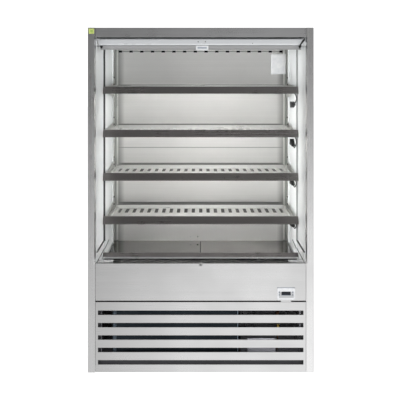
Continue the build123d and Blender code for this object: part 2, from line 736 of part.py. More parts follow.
# ================================================================ controller
# A snap-in bezel in the sill fascia, with a display window and two keys on each side of it. Each key is
# a stepped cap in its own pocket.
bezel_front = front_recess - bezel_thickness
key_places = {
    "button_up": (-1, 1),
    "button_down": (-1, -1),
    "button_set": (1, 1),
    "button_defrost": (1, -1),
}
with BuildPart() as controller_bezel:
    with BuildSketch(Plane.XZ.offset(-y_at(front_recess))):
        with Locations((controller_x, controller_z)):
            RectangleRounded(bezel_width, bezel_height, 6.0)
    extrude(amount=bezel_thickness)
    chamfer(controller_bezel.faces().sort_by(Axis.Y)[0].edges(), length=1.0)
    block((controller_x - 33.0, controller_x + 33.0),
          (front_recess, front_recess + housing_depth), (controller_z - 15.0, controller_z + 15.0))
    # window recess and key pockets
    block((controller_x - display_width / 2, controller_x + display_width / 2),
          (bezel_front - 1.0, bezel_front + 2.0),
          (controller_z - display_height / 2 + 3.0, controller_z + display_height / 2 + 3.0),
          mode=Mode.SUBTRACT)
    # the keys' pockets go right into the housing
    for across, up in key_places.values():
        key_x = controller_x + across * (button_spread - 5.5)
        key_z = controller_z + 3.0 + up * button_rise
        block((key_x - button_width / 2 + (across * 5.5), key_x + button_width / 2 + (across * 5.5)),
              (bezel_front - 1.0, front_recess - 0.2), (key_z - button_height / 2, key_z + button_height / 2),
              mode=Mode.SUBTRACT)
finish(controller_bezel.part, "controller_bezel")

with BuildPart() as controller_display:
    block((controller_x - display_width / 2 + 0.2, controller_x + display_width / 2 - 0.2),
          (bezel_front + 0.6, bezel_front + 2.0),
          (controller_z - display_height / 2 + 3.2, controller_z + display_height / 2 + 2.8))
finish(controller_display.part, "controller_display")

for key_name, (across, up) in key_places.items():
    key_x = controller_x + across * button_spread
    key_z = controller_z + 3.0 + up * button_rise
    with BuildPart() as key:
        block((key_x - button_width / 2 + button_play, key_x + button_width / 2 - button_play),
              (bezel_front - 0.6, front_recess - 0.2 - button_travel - 0.2),
              (key_z - button_height / 2 + button_play, key_z + button_height / 2 - button_play))
        fillet(key.faces().sort_by(Axis.Y)[0].edges(), radius=0.5)
    finish(key.part, key_name)

# ================================================================ louvre panel
# One sheet with five slots. Each slot's edges are hemmed inwards, and the panel's own edges are returned,
# which is what keeps so thin a sheet flat.
louvre_levels = [louvre_slot_first + n * louvre_slot_pitch for n in range(louvre_slot_count)]
with BuildPart() as louvre_panel:
    block((-panel_half, panel_half), (front_recess, front_recess + louvre_return), (floor_gap, louvre_top))
    block((-panel_half + sheet, panel_half - sheet),
          (front_recess + sheet, front_recess + louvre_return),
          (floor_gap + sheet, louvre_top - sheet), mode=Mode.SUBTRACT)
    for level in louvre_levels:
        block((-louvre_half_slot - sheet, louvre_half_slot + sheet),
              (front_recess, front_recess + louvre_hem),
              (level - louvre_slot / 2 - sheet, level + louvre_slot / 2 + sheet))
        block((-louvre_half_slot, louvre_half_slot), (0.0, post_depth),
              (level - louvre_slot / 2, level + louvre_slot / 2), mode=Mode.SUBTRACT)
finish(louvre_panel.part, "louvre_panel")

# ================================================================ base and feet
with BuildPart() as base_frame:
    rim_front = post_depth + 2.0
    block((-inner_half, inner_half), (rim_front, cabinet_depth - sheet), (base_level, base_level + base_rim))
    block((-inner_half + base_sheet, inner_half - base_sheet),
          (rim_front + base_sheet, cabinet_depth - sheet - base_sheet),
          (base_level + base_sheet, base_level + base_rim + 1.0), mode=Mode.SUBTRACT)
    # four corner posts carry the tank
    for x_sign in (-1, 1):
        for post_range in ((rim_front, rim_front + 30.0), (cabinet_depth - 46.0, cabinet_depth - 16.0)):
            block(mirrored((inner_half - 26.0, inner_half), x_sign), post_range, (base_level, tank_bottom))
    # pan for the melt water, under the drain
    block((-120.0, 120.0), (540.0, 640.0), (base_level, base_level + 26.0))
    block((-117.0, 117.0), (543.0, 637.0), (base_level + base_sheet, base_level + 27.0), mode=Mode.SUBTRACT)
finish(base_frame.part, "base_frame")

with BuildPart() as levelling_feet:
    for x_sign in (-1, 1):
        for foot_depth in (foot_inset, cabinet_depth - foot_inset):
            foot_x = x_sign * (inner_half - foot_inset)
            with Locations((foot_x, y_at(foot_depth), pad_height / 2)):
                Cylinder(foot_radius, pad_height)
            with Locations((foot_x, y_at(foot_depth), (pad_height + base_level) / 2)):
                Cylinder(stud_radius, base_level - pad_height)
finish(levelling_feet.part, "levelling_feet")

# ================================================================ condensing unit
# The condenser faces the louvres, in a channel frame; the fan draws air through it, and the compressor
# stands behind on the right.
condenser_rear = condenser_front + condenser_depth
with BuildPart() as condenser:
    block((condenser_left + frame_channel, condenser_right - 6.0),
          (condenser_front + 6.0, condenser_rear - 6.0), (condenser_bottom + 4.0, condenser_top - 4.0))
    for channel_x in ((condenser_left, condenser_left + frame_channel),
                      (condenser_right - 6.0, condenser_right)):
        block(channel_x, (condenser_front, condenser_rear), (base_level + base_sheet, condenser_top))
    for rail_z in ((condenser_bottom, condenser_bottom + 4.0), (condenser_top - 4.0, condenser_top)):
        block((condenser_left + frame_channel, condenser_right - 6.0),
              (condenser_front, condenser_rear), rail_z)
    for row in range(6):
        bend_z = condenser_bottom + 40.0 + row * 42.0
        with BuildSketch(Plane(origin=(condenser_right, y_at(condenser_front + 31.0 + 12.0), bend_z),
                               x_dir=(0, 1, 0), z_dir=(1, 0, 0))):
            Circle(5.0)
        revolve(axis=Axis((condenser_right, y_at(condenser_front + 31.0), bend_z), (0, 0, 1)),
                revolution_arc=-180)
finish(condenser.part, "condenser")

shroud_depth = condenser_rear + shroud_gap
with BuildPart() as fan_shroud:
    block((condenser_left + frame_channel, condenser_right - 6.0), (condenser_rear, shroud_depth),
          (condenser_bottom, condenser_top))
    block((condenser_left + frame_channel + 2.0, condenser_right - 8.0),
          (condenser_rear - 1.0, shroud_depth - 2.0),
          (condenser_bottom + 2.0, condenser_top - 2.0), mode=Mode.SUBTRACT)
    with BuildSketch(Plane.XZ.offset(-y_at(shroud_depth))):
        with Locations((fan_x, fan_z)):
            Circle(fan_radius + fan_tip_gap + 3.0)
    extrude(amount=-18.0)
    with BuildSketch(Plane.XZ.offset(-y_at(shroud_depth - 6.0))):
        with Locations((fan_x, fan_z)):
            Circle(fan_radius + fan_tip_gap)
    extrude(amount=-30.0, mode=Mode.SUBTRACT)
finish(fan_shroud.part, "fan_shroud")

fan_middle = shroud_depth + 4.0
condenser_fan = axial_fan(fan_x, fan_middle, fan_z, fan_radius, hub_radius, fan_depth, 5,
                          shaft_radius + shaft_play)
finish(condenser_fan, "condenser_fan")

motor_depth = fan_middle + fan_depth / 2 + 8.0
with BuildPart() as condenser_fan_motor:
    with Locations((fan_x, y_at(motor_depth + 32.0), fan_z)):
        Cylinder(44.0, 64.0, rotation=(90, 0, 0))
    with Locations((fan_x, y_at(motor_depth - 11.0), fan_z)):
        Cylinder(shaft_radius, 24.0, rotation=(90, 0, 0))
    # the motor stands on a sheet pedestal on the base
    block((fan_x - 30.0, fan_x + 30.0), (motor_depth + 12.0, motor_depth + 52.0),
          (fan_z - 60.0, fan_z - 36.0))
    for leg_x in ((fan_x - 30.0, fan_x - 27.0), (fan_x + 27.0, fan_x + 30.0)):
        block(leg_x, (motor_depth + 12.0, motor_depth + 52.0), (base_level + base_sheet, fan_z - 60.0))
finish(condenser_fan_motor.part, "condenser_fan_motor")

# The compressor is a welded steel can on a foot plate with rubber feet.
with BuildPart() as compressor:
    can_bottom = base_level + base_sheet + 24.0
    with BuildSketch(Plane.XY.offset(can_bottom)):
        with Locations((compressor_x, y_at(compressor_depth))):
            Circle(compressor_radius)
    extrude(amount=compressor_height)
    fillet(compressor.faces().sort_by(Axis.Z)[-1].edges(), radius=46.0)
    fillet(compressor.faces().sort_by(Axis.Z)[0].edges(), radius=16.0)
    block((compressor_x - 95.0, compressor_x + 95.0), (compressor_depth - 60.0, compressor_depth + 60.0),
          (can_bottom - 3.0, can_bottom + 1.0))
    for x_sign in (-1, 1):
        for y_sign in (-1, 1):
            with Locations((compressor_x + x_sign * 84.0, y_at(compressor_depth + y_sign * 48.0),
                            base_level + base_sheet + 10.5)):
                Cylinder(9.0, 21.0)
    # terminal cover on its front
    block((compressor_x - 30.0, compressor_x + 30.0), (compressor_depth - compressor_radius - 16.0,
          compressor_depth - compressor_radius + 12.0), (can_bottom + 40.0, can_bottom + 100.0))
finish(compressor.part, "compressor")

with BuildPart() as electrical_box:
    block((box_left, box_right), (box_front, box_front + box_depth), (base_level + base_sheet, box_top))
    fillet(electrical_box.edges().filter_by(Axis.Z), radius=5.0)
    fillet(electrical_box.faces().sort_by(Axis.Z)[-1].edges(), radius=4.0)
finish(electrical_box.part, "electrical_box")

# Pipework: discharge pipe from the compressor to the condenser, and the filter drier on the liquid line
# that runs up through the tank's floor.
drier_x = 429.0
drier_depth = 130.0
pipe_radius = 4.0


def pipe(points, radii, radius):
    """Add a bent copper pipe to the part being built."""
    with BuildLine() as run:
        FilletPolyline(*points, radius=radii)
    with BuildSketch(Plane(run.line @ 0, z_dir=run.line % 0)) as section:
        Circle(radius)
    sweep(section.sketch, path=run.line)


with BuildPart() as pipework:
    # filter drier: a spun cylinder with tapered ends, standing on the right
    with BuildSketch(Plane.XZ.offset(-y_at(drier_depth))):
        with BuildLine():
            Polyline((drier_x, 204.0), (drier_x + pipe_radius, 204.0), (drier_x + 11.0, 216.0),
                     (drier_x + 11.0, 274.0), (drier_x + pipe_radius, 286.0), (drier_x, 286.0), close=True)
        make_face()
    revolve(axis=Axis((drier_x, y_at(drier_depth), 0), (0, 0, 1)))
    pipe([(drier_x, y_at(drier_depth), 285.0), (drier_x, y_at(drier_depth), 330.0),
          (drier_x, y_at(300.0), 330.0), (drier_x, y_at(300.0), tank_bottom)], [30.0, 30.0], pipe_radius)
    pipe([(drier_x, y_at(drier_depth), 205.0), (drier_x, y_at(drier_depth), 50.0),
          (drier_x, y_at(240.0), 50.0), (220.0, y_at(240.0), 50.0),
          (220.0, y_at(condenser_rear - 16.0), 50.0),
          (condenser_right, y_at(condenser_rear - 16.0), 50.0)],
         [24.0, 24.0, 24.0, 12.0], pipe_radius)
    # discharge pipe
    pipe([(compressor_x - compressor_radius, y_at(compressor_depth), 150.0),
          (60.0, y_at(compressor_depth), 150.0),
          (60.0, y_at(compressor_depth), 320.0), (60.0, y_at(condenser_rear + 60.0), 320.0),
          (condenser_right + 30.0, y_at(condenser_rear + 60.0), 320.0),
          (condenser_right + 30.0, y_at(condenser_rear - 16.0), 320.0),
          (condenser_right, y_at(condenser_rear - 16.0), 320.0)],
         [30.0, 30.0, 30.0, 20.0, 12.0], pipe_radius)
finish(pipework.part, "pipework")

# ================================================================ night blind
# An extruded cassette with a rounded back holds the roller; the cloth comes out of the slot along its
# underside and ends in the pull bar. Moulded brackets close the cassette's ends.
with BuildPart() as blind_cassette:
    cassette_rear = cassette_front + cassette_depth
    cassette_top = cassette_bottom + cassette_height
    with BuildSketch(Plane.YZ.offset(-cassette_half_width + 5.0)) as cassette_section:
        with Locations((y_at(cassette_middle), roller_level)):
            RectangleRounded(cassette_depth, cassette_height, 9.0)
            RectangleRounded(cassette_depth - 2 * cassette_wall, cassette_height - 2 * cassette_wall, 7.0,
                             mode=Mode.SUBTRACT)
        with Locations((y_at(cassette_middle), cassette_bottom)):
            Rectangle(20.0, 3 * cassette_wall, mode=Mode.SUBTRACT)
    extrude(amount=2 * (cassette_half_width - 5.0))
finish(blind_cassette.part, "blind_cassette")

with BuildPart() as blind_brackets:
    for side_name, sign in sides:
        # an end plate on the liner, with a stud that the roller turns on
        plate_x = mirrored((cassette_half_width - 5.0, inner_half), sign)
        with BuildSketch(Plane.YZ.offset(plate_x[0])):
            with Locations((y_at(cassette_middle), roller_level)):
                RectangleRounded(cassette_depth + 4.0, cassette_height + 4.0, 10.0)
        extrude(amount=plate_x[1] - plate_x[0])
        stud_x = mirrored((cassette_half_width - 25.0, cassette_half_width - 5.0), sign)
        with BuildSketch(Plane.YZ.offset(stud_x[0])):
            with Locations((y_at(cassette_middle), roller_level)):
                Circle(pin_radius)
        extrude(amount=stud_x[1] - stud_x[0])
    # hangers up to the roof
    for sign in (-1, 1):
        block(mirrored((cassette_half_width - 5.0, cassette_half_width - 2.0), sign),
              (cassette_middle - 12.0, cassette_middle + 12.0),
              (cassette_bottom + cassette_height, roof_bottom))
finish(blind_brackets.part, "blind_brackets")

with BuildPart() as blind_roller:
    roller_half = cassette_half_width - 8.0
    with BuildSketch(Plane.YZ.offset(-roller_half)):
        with Locations((y_at(cassette_middle), roller_level)):
            Circle(core_radius)
    extrude(amount=2 * roller_half)
    with BuildSketch(Plane.YZ.offset(-fabric_half_width)):
        with Locations((y_at(cassette_middle), roller_level)):
            Circle(roll_radius)
    extrude(amount=2 * fabric_half_width)
    for sign in (-1, 1):
        bore_x = mirrored((roller_half - 30.0, roller_half + 1.0), sign)
        with BuildSketch(Plane.YZ.offset(bore_x[0])):
            with Locations((y_at(cassette_middle), roller_level)):
                Circle(pin_radius + shaft_play)
        extrude(amount=bore_x[1] - bore_x[0], mode=Mode.SUBTRACT)
finish(blind_roller.part, "blind_roller")

# The cloth hangs from the front of the roll, through the cassette's slot, into the bar's top groove.
cloth_depth = cassette_middle - cloth_lead
cloth_top = roller_level - sqrt(roll_radius ** 2 - cloth_lead ** 2) - 0.3
with BuildPart() as blind_fabric:
    block((-fabric_half_width, fabric_half_width), (cloth_depth - fabric_thickness / 2,
          cloth_depth + fabric_thickness / 2), (bar_top + 0.3, cloth_top))
finish(blind_fabric.part, "blind_fabric")

# The pull bar is an extrusion with a shadow groove and a lip; moulded caps close its ends.
bar_middle = cloth_depth
bar_bottom = bar_top - bar_height
with BuildPart() as blind_bar:
    with BuildSketch(Plane.YZ.offset(-bar_half_width)):
        with Locations((y_at(bar_middle), bar_top - bar_height / 2)):
            RectangleRounded(bar_depth, bar_height, 2.5)
        with Locations((y_at(bar_middle - bar_depth / 2), bar_bottom + 6.5)):
            Rectangle(5.0, 2.6, mode=Mode.SUBTRACT)
    extrude(amount=2 * bar_half_width)
    for sign in (-1, 1):
        block(mirrored((bar_half_width - bar_cap, bar_half_width), sign),
              (bar_middle - bar_depth / 2 - 1.2, bar_middle + bar_depth / 2 + 1.2),
              (bar_bottom - 1.2, bar_top - 0.5))
finish(blind_bar.part, "blind_bar")

with BuildPart() as blind_handle:
    with BuildSketch(Plane.XZ.offset(-y_at(bar_middle - bar_depth / 2))):
        with Locations((8.0, bar_top - handle_height / 2)):
            RectangleRounded(handle_width, handle_height, 3.0)
    extrude(amount=3.0)
finish(blind_handle.part, "blind_handle")

os.makedirs("parts", exist_ok=True)
for piece in parts:
    export_step(piece, "parts/" + piece.label + ".step")
print(len(parts), "parts written")
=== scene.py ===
import math
from functools import partial, reduce

import bmesh
import bpy
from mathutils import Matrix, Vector


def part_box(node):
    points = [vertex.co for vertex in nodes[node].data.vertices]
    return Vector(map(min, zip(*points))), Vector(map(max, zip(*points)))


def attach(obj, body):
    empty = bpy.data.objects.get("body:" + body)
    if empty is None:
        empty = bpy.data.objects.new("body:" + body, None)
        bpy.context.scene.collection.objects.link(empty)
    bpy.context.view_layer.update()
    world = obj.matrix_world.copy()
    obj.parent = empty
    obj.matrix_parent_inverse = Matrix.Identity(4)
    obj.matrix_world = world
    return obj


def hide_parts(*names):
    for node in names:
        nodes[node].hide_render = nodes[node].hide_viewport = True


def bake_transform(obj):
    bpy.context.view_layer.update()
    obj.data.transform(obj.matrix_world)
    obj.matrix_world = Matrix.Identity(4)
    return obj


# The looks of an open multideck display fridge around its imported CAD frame, in metres, with +Z up and the
# open front towards -Y. Places on the object are given in millimetres, as (X, depth behind the front plane,
# height), and masks in materials in metres.
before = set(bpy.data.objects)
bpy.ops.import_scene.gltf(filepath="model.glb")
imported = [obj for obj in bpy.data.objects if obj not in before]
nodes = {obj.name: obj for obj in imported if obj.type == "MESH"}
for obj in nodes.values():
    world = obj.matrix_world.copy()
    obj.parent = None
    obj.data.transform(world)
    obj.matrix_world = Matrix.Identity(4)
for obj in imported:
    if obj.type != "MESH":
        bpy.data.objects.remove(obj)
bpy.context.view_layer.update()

FRONT = 340.0                               # from the cabinet's middle to its front plane
BACK = 680.0                                # depth of the rear skin
LEVELS = (767.0, 1017.0, 1267.0, 1517.0)    # heights of the four shelves
REAR_INNER = 556.0                          # half the width between the liners behind their step
SIDES = (-1, 1)                             # left and right


def at(x, depth, z):
    """A place in millimetres, counted from the front plane, as a point in metres."""
    return Vector((x, depth - FRONT, z)) / 1000


def front_of(node):
    """Depth of a node's foremost point, in millimetres."""
    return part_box(node)[0].y * 1000 + FRONT


# ================================================================ camera
# The photograph's viewpoint: level, straight in front and high up, with the frame shifted down.
camera = bpy.data.objects.new("camera", bpy.data.cameras.new("camera"))
bpy.context.scene.collection.objects.link(camera)
bpy.context.scene.camera = camera
camera.location = at(0, -2900, 1564)
camera.rotation_euler = (math.radians(90), 0, 0)
camera.data.sensor_width = 36.0
camera.data.lens = 48.75
camera.data.shift_x = -0.00175
camera.data.shift_y = -0.2975


# ================================================================ material helpers
class Tree:
    """A small wrapper to write a node tree with."""

    def __init__(self, owner):
        owner.use_nodes = True
        self.tree = owner.node_tree

    def add(self, kind, **values):
        node = self.tree.nodes.new(kind)
        for key, value in values.items():
            setattr(node, key, value)
        return node

    def link(self, source, target):
        self.tree.links.new(source, target)

    def feed(self, sockets, values):
        """Set each socket to a number or a colour, or link it to the output that is its value."""
        for socket, value in zip(sockets, values):
            if isinstance(value, (int, float)):
                socket.default_value = value
            elif isinstance(value, tuple):
                socket.default_value = (*value, 1.0)
            else:
                self.link(value, socket)

    def mix(self, factor, first, second, blend="MIX"):
        node = self.add("ShaderNodeMix", data_type="RGBA", blend_type=blend)
        self.feed([node.inputs[n] for n in (0, 6, 7)], (factor, first, second))
        return node.outputs[2]

    def math(self, operation, first, second=0.0, *more):
        node = self.add("ShaderNodeMath", operation=operation)
        self.feed(node.inputs, (first, second, *more))
        return node.outputs[0]

    def greys(self, source, stops):
        """A grey ramp through pairs of a place and a brightness."""
        node = self.add("ShaderNodeValToRGB")
        elements = node.color_ramp.elements
        while len(elements) < len(stops):
            elements.new(0.5)
        for element, (place, grey) in zip(elements, stops):
            element.position = place
            element.color = (grey, grey, grey, 1.0)
        self.link(source, node.inputs["Fac"])
        return node.outputs["Color"]


class Shader(Tree):
    """The node tree of a new material, around its Principled BSDF."""

    def __init__(self, name):
        self.material = bpy.data.materials.new(name)
        super().__init__(self.material)
        self.bsdf = self.tree.nodes["Principled BSDF"]
        self.place = self.add("ShaderNodeTexCoord").outputs["Object"]

    def set(self, **values):
        for key, value in values.items():
            self.bsdf.inputs[key.replace("_", " ")].default_value = value

    def scaled(self, scale):
        node = self.add("ShaderNodeMapping")
        node.inputs["Scale"].default_value = scale
        self.link(self.place, node.inputs["Vector"])
        return node.outputs["Vector"]

    def noise(self, scale, detail=3.0, roughness=0.55, spread=(1, 1, 1)):
        node = self.add("ShaderNodeTexNoise")
        node.inputs["Scale"].default_value = scale
        node.inputs["Detail"].default_value = detail
        node.inputs["Roughness"].default_value = roughness
        self.link(self.scaled(spread), node.inputs["Vector"])
        return node.outputs["Fac"]

    def span(self, value, low, high, first=0.0, last=1.0):
        """Map a value from first..last to low..high."""
        node = self.add("ShaderNodeMapRange")
        for key, number in (("From Min", first), ("From Max", last), ("To Min", low), ("To Max", high)):
            node.inputs[key].default_value = number
        self.link(value, node.inputs["Value"])
        return node.outputs["Result"]

    def axis(self, name):
        node = self.add("ShaderNodeSeparateXYZ")
        self.link(self.place, node.inputs[0])
        return node.outputs[name]

    def within(self, axis, low, high, soft=0.0005):
        """1 where the place along an axis lies between two limits in metres, else 0. The axis "aside" is the
        distance from the middle to either side."""
        place = self.math("ABSOLUTE", self.axis("X")) if axis == "aside" else self.axis(axis)
        return self.math("MULTIPLY", self.span(place, 0, 1, low - soft, low + soft),
                         self.span(place, 1, 0, high - soft, high + soft))

    def patched(self, patches, colour):
        """Where a patch's mask is 1, the surface has the colour times the patch's factor."""
        for mask, factor in patches:
            base = self.bsdf.inputs["Base Color"].links[0].from_socket
            self.colour(self.mix(mask(self), base, tint(colour, factor)))

    def bump(self, height, strength, distance):
        node = self.add("ShaderNodeBump")
        node.inputs["Strength"].default_value = strength
        node.inputs["Distance"].default_value = distance
        self.link(height, node.inputs["Height"])
        self.link(node.outputs["Normal"], self.bsdf.inputs["Normal"])

    def colour(self, source):
        self.link(source, self.bsdf.inputs["Base Color"])

    def rough(self, source):
        self.link(source, self.bsdf.inputs["Roughness"])


def tint(colour, factor):
    return tuple(min(1.0, channel * factor) for channel in colour)


def brushed(name, colour, roughness, grain="x", streak=0.07, smudge=0.08, bump=0.12, metallic=1.0,
            patches=()):
    """Brushed sheet metal: fine streaks along the grain, cloudy rolling marks and wiped smudges. Patches are
    pairs of a mask and the factor that the colour has there."""
    def spread(along, across):
        return tuple(along if axis == grain else across for axis in "xyz")

    shader = Shader(name)
    shader.set(Metallic=metallic)
    fine = shader.noise(1.0, 4.0, 0.7, spread(1.2, 260))
    broad = shader.noise(1.0, 2.0, 0.5, spread(0.5, 34))
    cloud = shader.noise(3.2, 3.0)
    body = shader.mix(shader.span(fine, 0, 1, 0.25, 0.75), tint(colour, 1 - streak), tint(colour, 1 + streak))
    body = shader.mix(shader.span(broad, 0.0, 0.35, 0.3, 0.7), body, tint(colour, 1 - 1.4 * streak))
    shader.colour(shader.mix(shader.span(cloud, 0, 0.5, 0.35, 0.7), body, tint(colour, 0.93)))
    wiped = shader.math("ADD", shader.span(cloud, -smudge, smudge, 0.3, 0.7),
                        shader.span(fine, roughness - 0.05, roughness + 0.05, 0.2, 0.8))
    shader.rough(wiped)
    shader.bump(fine, bump, 0.00015)
    shader.patched(patches, colour)
    return shader.material


def painted(name, colour, roughness, peel=0.05, dirt=0.06, coat=0.0, patches=()):
    """Sprayed or powder-coated sheet, with a slight orange peel and uneven wiping."""
    shader = Shader(name)
    shader.set(Coat_Weight=coat)
    cloud = shader.noise(2.4, 4.0)
    shader.colour(shader.mix(shader.span(cloud, 0, 1, 0.35, 0.75), colour, tint(colour, 1 - dirt)))
    shader.rough(shader.span(shader.noise(9.0, 3.0), roughness - 0.06, roughness + 0.06, 0.3, 0.7))
    shader.bump(shader.noise(650.0, 2.0), peel, 0.0004)
    shader.patched(patches, colour)
    return shader.material


def moulded(name, colour, roughness, grain=0.12, emission=0.0, patches=()):
    """Moulded plastic or rubber with a fine eroded texture."""
    shader = Shader(name)
    shader.set(Specular_IOR_Level=0.4)
    cloud = shader.noise(30.0, 3.0)
    shader.colour(shader.mix(shader.span(cloud, 0, 1, 0.3, 0.7), tint(colour, 1.06), tint(colour, 0.9)))
    shader.rough(shader.span(shader.noise(120.0, 2.0), roughness - 0.07, roughness + 0.07, 0.3, 0.7))
    shader.bump(shader.noise(2200.0, 2.0), grain, 0.0002)
    shader.patched(patches, colour)
    if emission:
        shader.bsdf.inputs["Emission Color"].default_value = (1.0, 0.99, 0.97, 1.0)
        shader.bsdf.inputs["Emission Strength"].default_value = emission
    return shader.material


def zone(**limits):
    """A mask that is 1 within limits along the axes that it names. Each is given in metres, as (low, high) or
    as (low, high, softness)."""
    def mask(shader):
        inside = [shader.within(axis, *span) for axis, span in limits.items()]
        return reduce(partial(shader.math, "MULTIPLY"), inside)
    return mask


def beside_shelves(levels, low, high, from_y):
    """A mask that is 1 in a band beside each of some shelves and behind a given Y. The band lies between two
    heights over the shelf, in millimetres."""
    def mask(shader):
        bands = 0.0
        for level in levels:
            bands = shader.math("ADD", shader.within("Z", (level + low) / 1000, (level + high) / 1000), bands)
        return shader.math("MULTIPLY", bands, shader.within("Y", from_y, 1.0))
    return mask


# ================================================================ materials
STEEL = (0.80, 0.80, 0.80)
LEFT, RIGHT = (-0.6, 0.0), (0.0, 0.6)       # X
SILL_TOP = (0.5853, 0.60)                   # Z
STEP = (-0.0945, 0.1)                       # Y of the edge strips on the liners' step

post_steel = brushed("post_steel", (0.90, 0.90, 0.90), 0.28, "z", smudge=0.035)
front_steel = brushed("front_steel", STEEL, 0.3, "x", smudge=0.03)
# the sill's pierced top is darker than its face, partly for its holes and partly as painted shade in them,
# and its plain ends are darker by painted shade that takes off the lamps' highlight there
sill_steel = brushed("sill_steel", STEEL, 0.3, "x", smudge=0.03, patches=[
    (zone(Z=SILL_TOP, X=(-0.477, 0.477)), 0.12),
    (zone(Z=SILL_TOP, aside=(0.4775, 0.60)), 0.45)])
header_steel = brushed("header_steel", (0.88, 0.88, 0.89), 0.3, "x")
back_patches = [
    # painted shade of the two lower shelves, and a painted shade line over each tray's rear edge
    (beside_shelves(LEVELS[:2], -45.0, 1.0, 0.0), 0.22),
    (beside_shelves(LEVELS, 4.0, 24.0, 0.0), 0.3),
    # painted light on the foot, the seam, painted shade at the air slots, and a painted dark reflection at
    # the side edges
    (zone(Z=(0.54, 0.722)), 1.13),
    (zone(Z=(1.1372, 1.1414)), 0.45),
    (zone(Z=(1.7500, 1.7565)), 0.5),
    (zone(aside=(0.508, 0.60, 0.022)), 0.45)]
back_steel = brushed("back_steel", (0.88, 0.87, 0.85), 0.46, "x", streak=0.05, smudge=0.05, metallic=0.8,
                     patches=back_patches)
# painted shade darkens a rim along the top of the trays' rear upstands
tray_steel = brushed("tray_steel", (0.72, 0.72, 0.70), 0.34, "x", metallic=0.7, patches=[
    (beside_shelves(LEVELS, 21.0, 24.0, 0.15), 0.2)])
# painted shade darkens a narrow line on the uprights, and a painted highlight lightens another line nearer
# the middle
upright_steel = brushed("upright_steel", (0.66, 0.67, 0.64), 0.36, "z", metallic=0.8, patches=[
    (zone(aside=(0.5425, 0.5460)), 0.6),
    (zone(aside=(0.529, 0.536)), 1.4)])
# the deck's dark colour is a painted reflection of the dark interior in its steel; it has cloudy marks, and a
# painted reflection darkens it towards its left
deck_patches = [
    (lambda shader: shader.span(shader.noise(4.0, 2.0), 0, 1, 0.35, 0.65), 0.7),
    (lambda shader: shader.span(shader.axis("X"), 1, 0, -0.35, 0.20), 0.4)]
deck_steel = brushed("deck_steel", (0.23, 0.222, 0.215), 0.07, "x", streak=0.05, smudge=0.02, bump=0.02,
                     patches=deck_patches)
strip_steel = brushed("strip_steel", (0.19, 0.18, 0.175), 0.3, "x", streak=0.12)
# the edge strips lie in shade, the left one more than the right one
trim_steel = brushed("trim_steel", (0.80, 0.81, 0.81), 0.34, "z", metallic=0.3, patches=[
    (zone(Y=STEP, X=LEFT), 0.08),
    (zone(Y=STEP, X=RIGHT), 0.45)])
plate_steel = brushed("plate_steel", (0.46, 0.46, 0.47), 0.5, "x", metallic=0.3)
grille_steel = brushed("grille_steel", (0.11, 0.11, 0.11), 0.36, "x")
aluminium = brushed("aluminium", (0.86, 0.88, 0.90), 0.3, "x", streak=0.03, bump=0.05, metallic=0.5)
bar_aluminium = brushed("bar_aluminium", (0.44, 0.44, 0.445), 0.35, "x", streak=0.03, bump=0.05, metallic=0.3)
# painted shade behind the air slots and behind the slot that the blind is latched in
galvanised = brushed("galvanised", (0.60, 0.62, 0.63), 0.48, "x", streak=0.04, smudge=0.06, patches=[
    (zone(Z=(1.70, 1.80), Y=(0.225, 0.335)), 0.05),
    (zone(X=(-0.06, 0.06), Y=(-0.34, -0.30)), 0.05)])
# painted shade greys the liners in front of their step and on the left, and painted light lightens them at
# their head
white_paint = painted("white_paint", (0.86, 0.88, 0.88), 0.35, patches=[
    (zone(Y=(-1.0, -0.0905)), 0.78),
    (zone(Z=(1.60, 2.0, 0.10)), 1.13),
    (zone(X=LEFT, Z=(0.5, 1.55, 0.08)), 0.84)])
white_plastic = moulded("white_plastic", (0.70, 0.71, 0.72), 0.42)
black_plastic = moulded("black_plastic", (0.012, 0.012, 0.013), 0.5)
rubber = moulded("rubber", (0.03, 0.03, 0.03), 0.6)
lead_rubber = moulded("lead_rubber", (0.03, 0.03, 0.032), 0.5)
key_plastic = moulded("key_plastic", (0.34, 0.37, 0.42), 0.45)
# the bezel has a greyer field about the display and the keys
bezel_plastic = moulded("bezel_plastic", (0.79, 0.80, 0.82), 0.42, patches=[
    (zone(X=(0.4195, 0.4980), Z=(0.4023, 0.4355)), 0.62)])
lamp_white = moulded("lamp_white", (0.80, 0.81, 0.81), 0.4)
lamp_glow = moulded("lamp_glow", (0.9, 0.92, 0.92), 0.3, emission=24.0)
fan_plastic = moulded("fan_plastic", (0.035, 0.036, 0.04), 0.4)
black_enamel = painted("black_enamel", (0.02, 0.02, 0.022), 0.25, coat=0.4)
motor_paint = painted("motor_paint", (0.05, 0.05, 0.055), 0.4)
box_paint = painted("box_paint", (0.30, 0.30, 0.33), 0.4)


def copper_material():
    """Tarnished copper pipe."""
    shader = Shader("copper")
    shader.set(Metallic=1.0)
    tarnish = shader.noise(60.0, 4.0)
    shader.colour(shader.mix(shader.span(tarnish, 0, 1, 0.4, 0.65), (0.20, 0.11, 0.07), (0.10, 0.06, 0.04)))
    shader.rough(shader.span(tarnish, 0.25, 0.5, 0.35, 0.7))
    shader.bump(tarnish, 0.08, 0.0003)
    return shader.material


def display_material():
    """Dark glossy window with a paler band along its foot."""
    shader = Shader("display")
    shader.set(Specular_IOR_Level=0.25)
    band = shader.span(shader.axis("Z"), 1, 0, 0.4162, 0.4170)
    specks = shader.span(shader.noise(400.0), 0, 1, 0.3, 0.7)
    dark = shader.mix(specks, (0.012, 0.014, 0.02), (0.02, 0.022, 0.03))
    shader.colour(shader.mix(band, dark, (0.30, 0.36, 0.44)))
    shader.rough(shader.span(shader.noise(60.0), 0.2, 0.3, 0.3, 0.7))
    return shader.material


